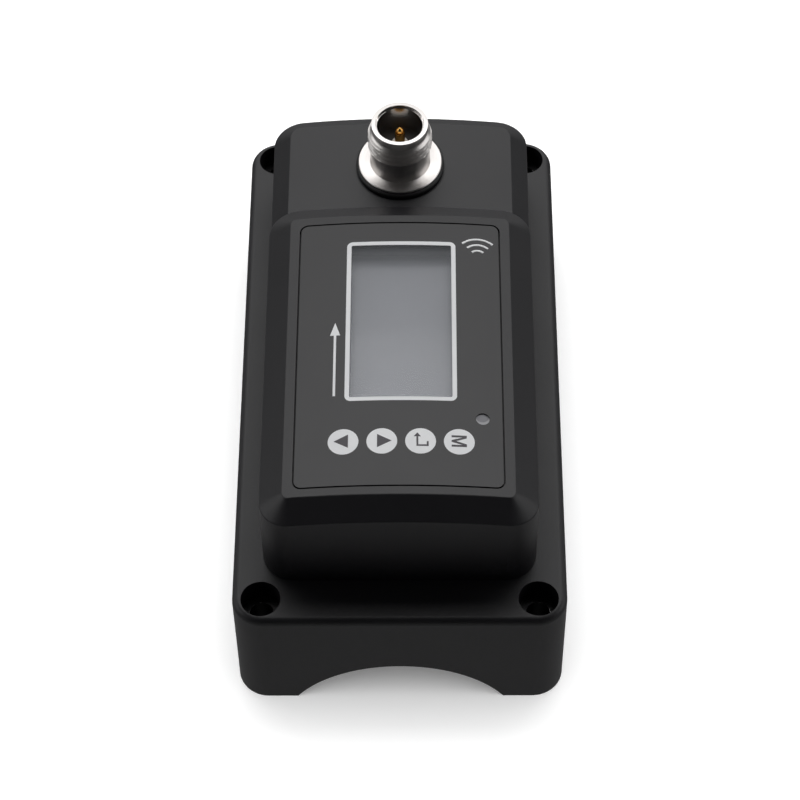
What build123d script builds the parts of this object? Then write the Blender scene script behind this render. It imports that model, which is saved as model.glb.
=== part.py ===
from build123d import *
from math import cos, radians, sin, tan
import os

# Clamp-on ultrasonic flow meter: a cast base with a pipe saddle and two sensors, and a moulded
# housing on it with a display block in front and a lower connector deck behind.
# Millimetres. +X right, +Y from the display towards the connector, +Z up.
# The origin is the centre of the base's footprint, on the plane that its two lands stand on.

# Base
base_length = 110.0
base_width = 58.5
base_height = 25.6
base_corner_radius = 5.5
base_top_fillet = 1.3
saddle_radius = 21.5
saddle_rise = 10.5
mount_side_margin = 5.05
mount_end_margin = 4.8
mount_hole_diameter = 4.2
mount_counterbore_diameter = 7.0
mount_counterbore_depth = 4.7
pocket_side_margin = 7.0
pocket_end_margin = 2.0
pocket_corner_radius = 4.0
saddle_wall = 2.7

# Sensors in the base
sensor_spacing = 40.0
pad_width = 19.0
pad_length = 20.0
pad_thickness = 0.8
shoe_width = 13.6
shoe_length = 16.0
shoe_flange = 1.4
shoe_flange_thickness = 1.2
wedge_angle = 38.0
wedge_headroom = 2.25
piezo_edge_margin = 2.9
piezo_thickness = 1.0
damping_thickness = 2.0
damping_taper = 8.0
sensor_lead_diameter = 1.2
fit_clearance = 0.1

# Upper housing
housing_width = 48.0
housing_front_setback = 8.6
housing_rear_setback = 6.7
housing_corner_radius = 5.4
deck_length = 25.4
display_height = 21.0
deck_height = 16.4
crown_radius = 150.0
display_bevel_run = 4.1
display_bevel_drop = 2.5
deck_bevel_run = 3.2
deck_bevel_drop = 2.1
housing_edge_radius = 0.3
housing_wall = 2.2
housing_top_wall = 2.4
inner_bevel_share = 0.6
gasket_setback = 0.8
gasket_width = 1.0
gasket_height = 1.0

# Screws that hold the housing from below
housing_screw_side_margin = 3.2
housing_screw_end_margin = 11.35
housing_screw_diameter = 2.5
housing_screw_length = 16.0
housing_screw_head_diameter = 4.4
housing_screw_head_height = 1.6
housing_screw_pocket_depth = 16.0
screw_hole_clearance = 0.15
screw_cross_span = 0.6
screw_cross_slot = 0.14
screw_cross_depth = 0.55
screw_tip_chamfer = 0.15
insert_diameter = 3.6
insert_length = 5.0
insert_recess = 0.3
boss_wall = 0.9
boss_height = 9.4

# Panel
panel_side_margin = 6.1
panel_end_margin = 6.0
panel_thickness = 1.0
panel_corner_radius = 1.3
panel_gap = 0.3
print_thickness = 0.1
window_side_margin = 8.9
window_front_margin = 18.45
window_rear_margin = 5.05
window_corner_radius = 0.3
window_offset_x = 0.3
frame_band = 0.8
bond_margin = 0.4
key_diameter = 5.3
key_pitch = 6.66
key_offset_x = 0.4
key_front_margin = 9.05
key_count = 4
led_side_margin = 3.4
led_front_margin = 14.05
light_pipe_diameter = 2.4
light_pipe_recess = 0.25

# Display stack
lcd_depth = 3.4
lcd_side_margin = 3.0
lcd_end_margin = 3.1
lcd_thickness = 1.8
backlight_thickness = 2.2
spacer_wall = 1.3
board_thickness = 1.6
display_board_side_gap = 4.6
display_board_end_gap = 5.9
board_corner_radius = 2.0
board_screw_side_margin = 2.9
board_screw_end_margin = 2.85
board_screw_diameter = 2.0
board_screw_length = 4.5
board_screw_head_diameter = 3.8
board_screw_head_height = 1.4
board_post_diameter = 4.4
key_post_diameter = 4.4
led_size = 1.6
led_height = 0.8

# Main board
main_board_lift = 0.8
main_board_side_gap = 0.5
main_board_end_gap = 7.35
main_screw_side_margin = 3.5
main_screw_end_margin = 4.0
cast_post_diameter = 5.0
processor_size = 10.0
processor_height = 1.2
processor_chamfer = 0.15
processor_setback = 13.0
socket_width = 12.0
socket_length = 4.0
socket_height = 1.8
socket_setback = 5.0
ribbon_width = 10.0
ribbon_thickness = 0.2
ribbon_clearance = 0.05
ribbon_reach = 6.0
ribbon_bend_radius = 3.0

# Connector
connector_setback = 13.6
connector_thread_diameter = 11.86
seal_section = 1.16
seal_diameter = 16.45
seal_seat_sink = 0.25
seal_seat_margin = 0.4
flange_diameter = 15.6
flange_thickness = 0.5
neck_diameter = 11.1
neck_height = 4.7
thread_length = 3.6
collar_groove_diameter = 10.1
collar_groove_length = 0.5
collar_diameter = 10.5
collar_length = 1.55
socket_mouth_diameter = 8.9
socket_mouth_depth = 0.5
socket_diameter = 8.4
socket_depth = 5.8
insulator_shoulder_depth = 2.5
insulator_step = 0.4
connector_tail = 6.4
panel_hole_clearance = 0.15
lock_nut_size = 14.0
lock_nut_sides = 6
lock_nut_height = 2.4
nut_pad_wall = 2.8
nut_pad_diameter = 20.0
pin_diameter = 1.9
pin_below_rim = 1.25
pin_tail = 2.4
pin_nose_length = 1.5
pin_tip_diameter = 0.3
boss_diameter = 3.1
boss_rise = 0.65
boss_root = 2.0
boss_edge = 0.15
connector_lead_diameter = 1.4

# Places that follow from the sizes
saddle_axis_z = saddle_rise - saddle_radius
pocket_floor_z = saddle_rise + saddle_wall
mount_spacing_x = base_width - 2 * mount_side_margin
mount_spacing_y = base_length - 2 * mount_end_margin
housing_length = base_length - housing_front_setback - housing_rear_setback
display_length = housing_length - deck_length
front_wall_y = housing_front_setback - base_length / 2
rear_wall_y = front_wall_y + housing_length
display_rear_y = front_wall_y + display_length
display_center_y = (front_wall_y + display_rear_y) / 2
housing_center_y = (front_wall_y + rear_wall_y) / 2
housing_screw_spacing_x = housing_width - 2 * housing_screw_side_margin
housing_screw_spacing_y = housing_length - 2 * housing_screw_end_margin
display_top_z = base_height + display_height
deck_top_z = base_height + deck_height
crown_axis_z = display_top_z - crown_radius
panel_width = housing_width - 2 * panel_side_margin
panel_length = display_length - 2 * panel_end_margin
panel_front_y = display_center_y - panel_length / 2
window_width = panel_width - 2 * window_side_margin
window_length = panel_length - window_front_margin - window_rear_margin
window_center = (window_offset_x, panel_front_y + window_front_margin + window_length / 2)
key_center = (key_offset_x, panel_front_y + key_front_margin)
led_center = (panel_width / 2 - led_side_margin, panel_front_y + led_front_margin)
lcd_width = window_width + 2 * lcd_side_margin
lcd_length = window_length + 2 * lcd_end_margin
display_board_width = housing_width - 2 * display_board_side_gap
display_board_length = display_length - 2 * display_board_end_gap
board_screw_spacing_x = display_board_width - 2 * board_screw_side_margin
board_screw_spacing_y = display_board_length - 2 * board_screw_end_margin
pocket_width = housing_width - 2 * pocket_side_margin
main_board_width = pocket_width - 2 * main_board_side_gap
main_board_length = housing_length - 2 * main_board_end_gap
pocket_length = main_board_length + 2 * pocket_end_margin
main_screw_spacing_x = main_board_width - 2 * main_screw_side_margin
main_screw_spacing_y = main_board_length - 2 * main_screw_end_margin
socket_y = display_center_y + display_board_length / 2 - socket_setback
lcd_top_z = display_top_z - lcd_depth
display_board_z = lcd_top_z - lcd_thickness - backlight_thickness
main_board_z = base_height + main_board_lift
main_board_top_z = main_board_z + board_thickness
connector_y = rear_wall_y - connector_setback
seal_seat_z = deck_top_z - seal_seat_sink
flange_z = seal_seat_z + seal_section
neck_z = flange_z + flange_thickness
thread_z = neck_z + neck_height
groove_z = thread_z + thread_length
collar_z = groove_z + collar_groove_length
rim_z = collar_z + collar_length
insulator_z = rim_z - socket_depth
nut_seat_z = seal_seat_z - nut_pad_wall
connector_end_z = nut_seat_z - connector_tail
far = 4 * base_length
level_limit = 0.01
upside_down = (180, 0, 0)


def finish(piece, label):
    """Label a finished sub-part and write it as one STEP file."""
    piece.part.label = label
    export_step(piece.part, f"parts/{label}.step")


def crowned_block(width, front_y, rear_y, radius, low_z, top_z, bevel_run, bevel_drop):
    """A rounded block whose top is crowned about Y and bevelled all round."""
    with BuildPart() as block:
        with BuildSketch(Plane.XY.offset(low_z)):
            with Locations((0, (front_y + rear_y) / 2)):
                RectangleRounded(width, rear_y - front_y, radius)
        extrude(amount=top_z - low_z)
        with BuildSketch(Plane.XZ):
            with Locations((0, top_z - crown_radius)):
                Circle(crown_radius)
        extrude(amount=far, both=True, mode=Mode.INTERSECT)
        top = block.faces().sort_by(Axis.Z)[-1]
        chamfer(top.edges(), length=bevel_run, length2=bevel_drop, reference=top)
    return block.part


def softened(block, radius):
    """A crowned block with its bevel rounded off where it meets the crown and the walls."""
    with BuildPart() as soft:
        add(block)
        top = soft.faces().sort_by(Axis.Z)[-1]
        walls = soft.faces().filter_by(lambda face: abs(face.normal_at().Z) < level_limit)
        wall_rims = [wall.edges().sort_by(Axis.Z)[-1] for wall in walls]
        fillet(list(top.edges()) + wall_rims, radius=radius)
    return soft.part


def crown_layer(outline, depth_top, depth_bottom):
    """The part of a plan outline that lies between two depths under the display's crown."""
    with BuildPart() as layer:
        with BuildSketch(Plane.XY.offset(lcd_top_z)):
            add(outline)
        extrude(amount=2 * lcd_depth)
        with BuildSketch(Plane.XZ):
            with Locations((0, crown_axis_z)):
                Circle(crown_radius - depth_top)
                Circle(crown_radius - depth_bottom, mode=Mode.SUBTRACT)
        extrude(amount=far, both=True, mode=Mode.INTERSECT)
    return layer.part


def plate_outline(width, length, radius, center):
    """A rounded rectangle at a place in plan."""
    with BuildSketch() as outline:
        with Locations(center):
            RectangleRounded(width, length, radius)
    return outline.sketch


def corners(spacing_x, spacing_y, center_y):
    """The four places of a rectangular hole pattern."""
    return [
        (side_x * spacing_x / 2, center_y + side_y * spacing_y / 2)
        for side_x in (-1, 1)
        for side_y in (-1, 1)
    ]


def screw(head_diameter, head_height, shank_diameter, shank_length):
    """A screw that points up, with its head's seat at z = 0 and a cross recess in its head."""
    with BuildPart() as body:
        with Locations((0, 0, -head_height)):
            Cylinder(head_diameter / 2, head_height, align=(Align.CENTER, Align.CENTER, Align.MIN))
        Cylinder(shank_diameter / 2, shank_length, align=(Align.CENTER, Align.CENTER, Align.MIN))
        with BuildSketch(Plane.XY.offset(-head_height)):
            Rectangle(head_diameter * screw_cross_span, head_diameter * screw_cross_slot)
            Rectangle(head_diameter * screw_cross_slot, head_diameter * screw_cross_span)
        extrude(amount=head_height * screw_cross_depth, mode=Mode.SUBTRACT)
        chamfer(body.edges().group_by(Axis.Z)[-1], length=shank_diameter * screw_tip_chamfer)
    return body.part


def ribbon_socket(low_z, ribbon_z):
    """A board socket whose slot takes the ribbon's end from the rear."""
    with BuildPart() as socket:
        with BuildSketch(Plane.XY.offset(low_z)):
            with Locations((0, socket_y)):
                Rectangle(socket_width, socket_length)
        extrude(amount=socket_height)
        with BuildSketch(Plane.XZ.offset(-socket_y)):
            with Locations((0, ribbon_z)):
                Rectangle(
                    ribbon_width + 2 * ribbon_clearance,
                    ribbon_thickness + 2 * ribbon_clearance,
                )
        extrude(amount=-socket_length, mode=Mode.SUBTRACT)
    return socket


os.makedirs("parts", exist_ok=True)

# Hole patterns, as seen from above and, for holes made from below, as seen from underneath
mount_places = corners(mount_spacing_x, mount_spacing_y, 0)
main_screw_places = corners(main_screw_spacing_x, main_screw_spacing_y, housing_center_y)
housing_screw_places = corners(housing_screw_spacing_x, housing_screw_spacing_y, housing_center_y)
housing_screws_from_below = corners(
    housing_screw_spacing_x, housing_screw_spacing_y, -housing_center_y
)
board_screw_places = corners(board_screw_spacing_x, board_screw_spacing_y, display_center_y)
board_screws_from_below = corners(
    board_screw_spacing_x, board_screw_spacing_y, -display_center_y
)
main_screws_from_below = corners(
    main_screw_spacing_x, main_screw_spacing_y, -housing_center_y
)

# Base body: block, pocket, saddle, sensor windows, cast board posts, holes and gasket groove
pad_radius = saddle_radius + pad_thickness
sensor_places = [(0, -sensor_spacing / 2), (0, sensor_spacing / 2)]
shoe_opening_width = shoe_width + 2 * fit_clearance
shoe_opening_length = shoe_length + 2 * fit_clearance
gasket_line_x = housing_width - 2 * gasket_setback
gasket_line_y = housing_length - 2 * gasket_setback
gasket_line_radius = housing_corner_radius - gasket_setback
screw_hole_radius = housing_screw_diameter / 2 + screw_hole_clearance
screw_pocket_radius = housing_screw_head_diameter / 2 + fit_clearance
cast_post_height = main_board_z - pocket_floor_z
board_pilot_radius = board_screw_diameter / 2

with BuildPart() as base_body:
    with BuildSketch():
        RectangleRounded(base_width, base_length, base_corner_radius)
    extrude(amount=base_height)
    fillet(base_body.faces().sort_by(Axis.Z)[-1].edges(), radius=base_top_fillet)
    with BuildSketch(Plane.XY.offset(base_height)):
        with Locations((0, housing_center_y)):
            RectangleRounded(pocket_width, pocket_length, pocket_corner_radius)
    extrude(amount=pocket_floor_z - base_height, mode=Mode.SUBTRACT)
    with BuildSketch(Plane.XZ):
        with Locations((0, saddle_axis_z)):
            Circle(saddle_radius)
    extrude(amount=far, both=True, mode=Mode.SUBTRACT)
    for place_x, place_y in sensor_places:
        with BuildSketch(Plane.XZ.offset(-place_y)):
            with Locations((0, saddle_axis_z)):
                Circle(pad_radius)
            with Locations((0, pad_radius / 2)):
                Rectangle(pad_width + 2 * fit_clearance, pad_radius, mode=Mode.INTERSECT)
        extrude(amount=pad_length / 2 + fit_clearance, both=True, mode=Mode.SUBTRACT)
    with BuildSketch(Plane.XY.offset(pocket_floor_z)):
        with Locations(*sensor_places):
            Rectangle(shoe_opening_width, shoe_opening_length)
    extrude(amount=-pocket_floor_z, mode=Mode.SUBTRACT)
    with BuildSketch(Plane.XY.offset(pocket_floor_z)):
        with Locations(*main_screw_places):
            Circle(cast_post_diameter / 2)
    extrude(amount=cast_post_height)
    with Locations(Plane.XY.offset(main_board_z)):
        with Locations(*main_screw_places):
            Hole(board_pilot_radius, depth=board_screw_length)
    with Locations(Plane.XY.offset(base_height)):
        with Locations(*mount_places):
            CounterBoreHole(
                radius=mount_hole_diameter / 2,
                counter_bore_radius=mount_counterbore_diameter / 2,
                counter_bore_depth=mount_counterbore_depth,
                depth=base_height,
            )
    with Locations(Plane.XY.rotated(upside_down)):
        with Locations(*housing_screws_from_below):
            CounterBoreHole(
                radius=screw_hole_radius,
                counter_bore_radius=screw_pocket_radius,
                counter_bore_depth=housing_screw_pocket_depth,
                depth=base_height,
            )
    with BuildSketch(Plane.XY.offset(base_height)):
        with Locations((0, housing_center_y)):
            RectangleRounded(
                gasket_line_x + gasket_width,
                gasket_line_y + gasket_width,
                gasket_line_radius + gasket_width / 2,
            )
            RectangleRounded(
                gasket_line_x - gasket_width,
                gasket_line_y - gasket_width,
                gasket_line_radius - gasket_width / 2,
                mode=Mode.SUBTRACT,
            )
    extrude(amount=-gasket_height, mode=Mode.SUBTRACT)
finish(base_body, "base_body")

# Housing gasket: fills its groove and meets the housing's wall
with BuildPart() as housing_gasket:
    with BuildSketch(Plane.XY.offset(base_height - gasket_height)):
        with Locations((0, housing_center_y)):
            RectangleRounded(
                gasket_line_x + gasket_width,
                gasket_line_y + gasket_width,
                gasket_line_radius + gasket_width / 2,
            )
            RectangleRounded(
                gasket_line_x - gasket_width,
                gasket_line_y - gasket_width,
                gasket_line_radius - gasket_width / 2,
                mode=Mode.SUBTRACT,
            )
    extrude(amount=gasket_height)
finish(housing_gasket, "housing_gasket")

# Sensors: wedge, piezo disc, damping block, coupling pad and lead; the front set mirrors the rear
wedge_center_y = sensor_spacing / 2
wedge_top_z = pocket_floor_z + shoe_flange_thickness
slope_rise = main_board_z - wedge_headroom - wedge_top_z
slope_run = slope_rise / tan(radians(wedge_angle))
slope_length = slope_rise / sin(radians(wedge_angle))
piezo_diameter = slope_length - 2 * piezo_edge_margin
inner_y = wedge_center_y - shoe_length / 2
outer_y = wedge_center_y + shoe_length / 2
slope_middle = Vector(0, outer_y - slope_run / 2, wedge_top_z + slope_rise / 2)
slope_normal = Vector(0, sin(radians(wedge_angle)), cos(radians(wedge_angle)))
slope_plane = Plane(origin=slope_middle, x_dir=(1, 0, 0), z_dir=slope_normal)

with BuildPart() as rear_transducer_wedge:
    with BuildSketch(Plane.YZ):
        with BuildLine():
            Polyline(
                (inner_y, 0),
                (outer_y, 0),
                (outer_y, wedge_top_z),
                (outer_y - slope_run, wedge_top_z + slope_rise),
                (inner_y, wedge_top_z + slope_rise),
                close=True,
            )
        make_face()
    extrude(amount=shoe_width / 2, both=True)
    with BuildSketch(Plane.XY.offset(pocket_floor_z)):
        with Locations((0, wedge_center_y)):
            Rectangle(shoe_width + 2 * shoe_flange, shoe_length + 2 * shoe_flange)
    extrude(amount=shoe_flange_thickness)
    with BuildSketch(Plane.XZ):
        with Locations((0, saddle_axis_z)):
            Circle(pad_radius)
    extrude(amount=far, both=True, mode=Mode.SUBTRACT)
finish(rear_transducer_wedge, "rear_transducer_wedge")

with BuildPart() as rear_piezo_disc:
    with BuildSketch(slope_plane):
        Circle(piezo_diameter / 2)
    extrude(amount=piezo_thickness)
finish(rear_piezo_disc, "rear_piezo_disc")

with BuildPart() as rear_damping_block:
    with BuildSketch(slope_plane.offset(piezo_thickness)):
        Circle(piezo_diameter / 2)
    extrude(amount=damping_thickness, taper=damping_taper)
finish(rear_damping_block, "rear_damping_block")

with BuildPart() as rear_coupling_pad:
    with BuildSketch(Plane.XZ.offset(-wedge_center_y)):
        with Locations((0, saddle_axis_z)):
            Circle(pad_radius)
            Circle(saddle_radius, mode=Mode.SUBTRACT)
        with Locations((0, pad_radius / 2)):
            Rectangle(pad_width, pad_radius, mode=Mode.INTERSECT)
    extrude(amount=pad_length / 2, both=True)
finish(rear_coupling_pad, "rear_coupling_pad")

lead_start = slope_middle + slope_normal * (piezo_thickness + damping_thickness)
lead_corner = lead_start + slope_normal * ((main_board_z - lead_start.Z) / 2 / slope_normal.Z)
lead_end = Vector(0, lead_corner.Y, main_board_z)
with BuildPart() as rear_sensor_lead:
    with BuildLine() as rear_sensor_route:
        FilletPolyline(lead_start, lead_corner, lead_end, radius=sensor_lead_diameter)
    with BuildSketch(slope_plane.offset(piezo_thickness + damping_thickness)):
        Circle(sensor_lead_diameter / 2)
    sweep(path=rear_sensor_route.line)
finish(rear_sensor_lead, "rear_sensor_lead")

rear_sensor_pieces = {
    "transducer_wedge": rear_transducer_wedge,
    "piezo_disc": rear_piezo_disc,
    "damping_block": rear_damping_block,
    "coupling_pad": rear_coupling_pad,
    "sensor_lead": rear_sensor_lead,
}
for sensor_piece, rear_piece in rear_sensor_pieces.items():
    with BuildPart() as front_piece:
        mirror(rear_piece.part, about=Plane.XZ)
    finish(front_piece, f"front_{sensor_piece}")

# Main board on the base's cast posts, with its chip, ribbon socket and screws
with BuildPart() as main_board:
    with BuildSketch(Plane.XY.offset(main_board_z)):
        with Locations((0, housing_center_y)):
            RectangleRounded(main_board_width, main_board_length, board_corner_radius)
        with Locations(*main_screw_places):
            Circle(board_pilot_radius + screw_hole_clearance, mode=Mode.SUBTRACT)
    extrude(amount=board_thickness)
finish(main_board, "main_board")

with BuildPart() as signal_processor:
    with BuildSketch(Plane.XY.offset(main_board_top_z)):
        with Locations((0, housing_center_y - processor_setback)):
            Rectangle(processor_size, processor_size)
    extrude(amount=processor_height)
    chamfer(signal_processor.edges().group_by(Axis.Z)[-1], length=processor_chamfer)
finish(signal_processor, "signal_processor")

board_screw = screw(
    board_screw_head_diameter, board_screw_head_height, board_screw_diameter, board_screw_length
)
with BuildPart() as main_board_screws:
    with Locations(Plane.XY.offset(main_board_top_z).rotated(upside_down)):
        with Locations(*main_screws_from_below):
            add(board_screw)
finish(main_board_screws, "main_board_screws")

# Ribbon from board to board, between two sockets that stand on the boards
lower_ribbon_z = main_board_top_z + socket_height / 2
upper_ribbon_z = display_board_z - board_thickness - socket_height / 2

main_socket = ribbon_socket(main_board_top_z, lower_ribbon_z)
finish(main_socket, "main_socket")

display_socket = ribbon_socket(display_board_z - board_thickness - socket_height, upper_ribbon_z)
finish(display_socket, "display_socket")

ribbon_far_y = socket_y + socket_length / 2 + ribbon_reach
with BuildPart() as board_ribbon:
    with BuildLine() as ribbon_route:
        FilletPolyline(
            (0, socket_y, lower_ribbon_z),
            (0, ribbon_far_y, lower_ribbon_z),
            (0, ribbon_far_y, upper_ribbon_z),
            (0, socket_y, upper_ribbon_z),
            radius=ribbon_bend_radius,
        )
    with BuildSketch(Plane.XZ.offset(-socket_y)):
        with Locations((0, lower_ribbon_z)):
            Rectangle(ribbon_width, ribbon_thickness)
    sweep(path=ribbon_route.line)
finish(board_ribbon, "board_ribbon")

# Upper housing: display block and deck, hollowed alike, then panel recess, posts and holes
inner_width = housing_width - 2 * housing_wall
inner_radius = housing_corner_radius - housing_wall
inner_display_top_z = display_top_z - housing_top_wall
inner_deck_top_z = deck_top_z - housing_top_wall
display_outside = crowned_block(
    housing_width,
    front_wall_y,
    display_rear_y,
    housing_corner_radius,
    base_height,
    display_top_z,
    display_bevel_run,
    display_bevel_drop,
)
deck_outside = crowned_block(
    housing_width,
    front_wall_y,
    rear_wall_y,
    housing_corner_radius,
    base_height,
    deck_top_z,
    deck_bevel_run,
    deck_bevel_drop,
)
display_inside = crowned_block(
    inner_width,
    front_wall_y + housing_wall,
    display_rear_y - housing_wall,
    inner_radius,
    base_height,
    inner_display_top_z,
    display_bevel_run * inner_bevel_share,
    display_bevel_drop * inner_bevel_share,
)
deck_inside = crowned_block(
    inner_width,
    front_wall_y + housing_wall,
    rear_wall_y - housing_wall,
    inner_radius,
    base_height,
    inner_deck_top_z,
    deck_bevel_run * inner_bevel_share,
    deck_bevel_drop * inner_bevel_share,
)
panel_recess = crown_layer(
    plate_outline(
        panel_width + 2 * panel_gap,
        panel_length + 2 * panel_gap,
        panel_corner_radius + panel_gap,
        (0, display_center_y),
    ),
    -lcd_depth,
    panel_thickness,
)
spacer_width = window_width + 2 * spacer_wall
spacer_length = window_length + 2 * spacer_wall
spacer_radius = window_corner_radius + spacer_wall

with BuildPart() as upper_housing:
    add(softened(display_outside, housing_edge_radius))
    add(softened(deck_outside, housing_edge_radius))
    add(display_inside, mode=Mode.SUBTRACT)
    add(deck_inside, mode=Mode.SUBTRACT)
    # Pad under the connector, bosses for the housing screws and posts for the display board
    with BuildSketch(Plane.XY.offset(nut_seat_z)):
        with Locations((0, connector_y)):
            Circle(nut_pad_diameter / 2)
    extrude(amount=deck_top_z - housing_top_wall / 2 - nut_seat_z)
    with BuildSketch(Plane.XY.offset(base_height)):
        with Locations(*housing_screw_places):
            Circle(insert_diameter / 2 + boss_wall)
    extrude(amount=boss_height)
    with BuildSketch(Plane.XY.offset(display_board_z)):
        with Locations(*board_screw_places):
            Circle(board_post_diameter / 2)
    extrude(amount=inner_display_top_z - display_board_z)
    # Panel recess, with openings under it for the display, the keys and the light pipe
    add(panel_recess, mode=Mode.SUBTRACT)
    with BuildSketch(Plane.XY.offset(display_board_z)):
        with Locations(window_center):
            RectangleRounded(
                spacer_width + 2 * fit_clearance,
                spacer_length + 2 * fit_clearance,
                spacer_radius + fit_clearance,
            )
        with Locations(key_center):
            with GridLocations(key_pitch, 0, key_count, 1):
                Circle(key_post_diameter / 2 + fit_clearance)
        with Locations(led_center):
            Circle(light_pipe_diameter / 2 + fit_clearance)
    extrude(amount=display_top_z - display_board_z, mode=Mode.SUBTRACT)
    # Screw holes for the display board, insert holes, and the connector's hole and seal seat
    with Locations(Plane.XY.offset(display_board_z).rotated(upside_down)):
        with Locations(*board_screws_from_below):
            Hole(board_screw_diameter / 2, depth=board_screw_length - board_thickness)
    with Locations(Plane.XY.offset(base_height).rotated(upside_down)):
        with Locations(*housing_screws_from_below):
            CounterBoreHole(
                radius=screw_hole_radius,
                counter_bore_radius=insert_diameter / 2,
                counter_bore_depth=insert_recess + insert_length,
                depth=boss_height - boss_wall,
            )
    with Locations((0, connector_y, display_top_z)):
        CounterBoreHole(
            radius=connector_thread_diameter / 2 + panel_hole_clearance,
            counter_bore_radius=seal_diameter / 2 + seal_seat_margin,
            counter_bore_depth=display_top_z - seal_seat_z,
            depth=display_height,
        )
finish(upper_housing, "upper_housing")

# Housing screws from below and the inserts that they turn into
housing_screw = screw(
    housing_screw_head_diameter,
    housing_screw_head_height,
    housing_screw_diameter,
    housing_screw_length,
)
with BuildPart() as housing_screws:
    with Locations(Plane.XY.offset(housing_screw_pocket_depth)):
        with Locations(*housing_screw_places):
            add(housing_screw)
finish(housing_screws, "housing_screws")

with BuildPart() as screw_inserts:
    with BuildSketch(Plane.XY.offset(base_height + insert_recess)):
        with Locations(*housing_screw_places):
            Circle(insert_diameter / 2)
            Circle(housing_screw_diameter / 2, mode=Mode.SUBTRACT)
    extrude(amount=insert_length)
finish(screw_inserts, "screw_inserts")

# Panel: opaque plate, clear window bonded under the white frame, and the printed frame and keys
lens_width = window_width + 2 * bond_margin
lens_length = window_length + 2 * bond_margin
lens_radius = window_corner_radius + bond_margin
lens_outline = plate_outline(lens_width, lens_length, lens_radius, window_center)

with BuildSketch() as print_outline:
    with Locations(window_center):
        RectangleRounded(
            window_width + 2 * frame_band,
            window_length + 2 * frame_band,
            window_corner_radius + frame_band,
        )
        RectangleRounded(window_width, window_length, window_corner_radius, mode=Mode.SUBTRACT)
    with Locations(key_center):
        with GridLocations(key_pitch, 0, key_count, 1):
            Circle(key_diameter / 2)
print_layer = crown_layer(print_outline.sketch, 0, print_thickness)

with BuildSketch() as panel_outline:
    with Locations((0, display_center_y)):
        RectangleRounded(panel_width, panel_length, panel_corner_radius)
    add(lens_outline, mode=Mode.SUBTRACT)
    with Locations(led_center):
        Circle(light_pipe_diameter / 2, mode=Mode.SUBTRACT)

with BuildPart() as front_panel:
    add(crown_layer(panel_outline.sketch, 0, panel_thickness))
    add(print_layer, mode=Mode.SUBTRACT)
finish(front_panel, "front_panel")

with BuildPart() as display_window:
    add(crown_layer(lens_outline, 0, panel_thickness))
    add(print_layer, mode=Mode.SUBTRACT)
finish(display_window, "display_window")

with BuildPart() as panel_print:
    add(print_layer)
finish(panel_print, "panel_print")

# Display under the window: spacer, glass cell, backlight and board
with BuildSketch() as spacer_outline:
    with Locations(window_center):
        RectangleRounded(spacer_width, spacer_length, spacer_radius)
        RectangleRounded(window_width, window_length, window_corner_radius, mode=Mode.SUBTRACT)

with BuildPart() as lcd_spacer:
    add(crown_layer(spacer_outline.sketch, panel_thickness, lcd_depth + spacer_wall))
finish(lcd_spacer, "lcd_spacer")

with BuildPart() as lcd_cell:
    with BuildSketch(Plane.XY.offset(lcd_top_z)):
        with Locations(window_center):
            Rectangle(lcd_width, lcd_length)
    extrude(amount=-lcd_thickness)
finish(lcd_cell, "lcd_cell")

with BuildPart() as lcd_backlight:
    with BuildSketch(Plane.XY.offset(display_board_z)):
        with Locations(window_center):
            Rectangle(lcd_width, lcd_length)
    extrude(amount=backlight_thickness)
finish(lcd_backlight, "lcd_backlight")

with BuildPart() as display_board:
    with BuildSketch(Plane.XY.offset(display_board_z)):
        with Locations((0, display_center_y)):
            RectangleRounded(display_board_width, display_board_length, board_corner_radius)
        with Locations(*board_screw_places):
            Circle(board_screw_diameter / 2 + screw_hole_clearance, mode=Mode.SUBTRACT)
    extrude(amount=-board_thickness)
finish(display_board, "display_board")

with BuildPart() as display_board_screws:
    with Locations(Plane.XY.offset(display_board_z - board_thickness)):
        with Locations(*board_screw_places):
            add(board_screw)
finish(display_board_screws, "display_board_screws")

with BuildSketch() as key_post_outline:
    with Locations(key_center):
        with GridLocations(key_pitch, 0, key_count, 1):
            Circle(key_post_diameter / 2)

with BuildPart() as key_sensor_posts:
    with BuildSketch(Plane.XY.offset(display_board_z)):
        add(key_post_outline.sketch)
    extrude(amount=display_height)
    with BuildSketch(Plane.XZ):
        with Locations((0, crown_axis_z)):
            Circle(crown_radius - panel_thickness)
    extrude(amount=far, both=True, mode=Mode.INTERSECT)
finish(key_sensor_posts, "key_sensor_posts")

with BuildPart() as status_led:
    with BuildSketch(Plane.XY.offset(display_board_z)):
        with Locations(led_center):
            Rectangle(led_size, led_size)
    extrude(amount=led_height)
finish(status_led, "status_led")

with BuildPart() as light_pipe:
    with BuildSketch(Plane.XY.offset(display_board_z + led_height)):
        with Locations(led_center):
            Circle(light_pipe_diameter / 2)
    extrude(amount=display_height)
    with BuildSketch(Plane.XZ):
        with Locations((0, crown_axis_z)):
            Circle(crown_radius - light_pipe_recess)
    extrude(amount=far, both=True, mode=Mode.INTERSECT)
finish(light_pipe, "light_pipe")

# Connector: one turned shell through the deck, sealed by a ring, held by a nut below
tail_radius = connector_thread_diameter / 2
neck_radius = neck_diameter / 2
groove_radius = collar_groove_diameter / 2
collar_radius = collar_diameter / 2
socket_radius = socket_diameter / 2
shoulder_radius = socket_radius + insulator_step
shoulder_z = insulator_z - insulator_shoulder_depth
connector_axis = Axis((0, connector_y, 0), (0, 0, 1))
connector_plane = Plane((0, connector_y, 0), x_dir=(0, 1, 0), z_dir=(1, 0, 0))

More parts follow.
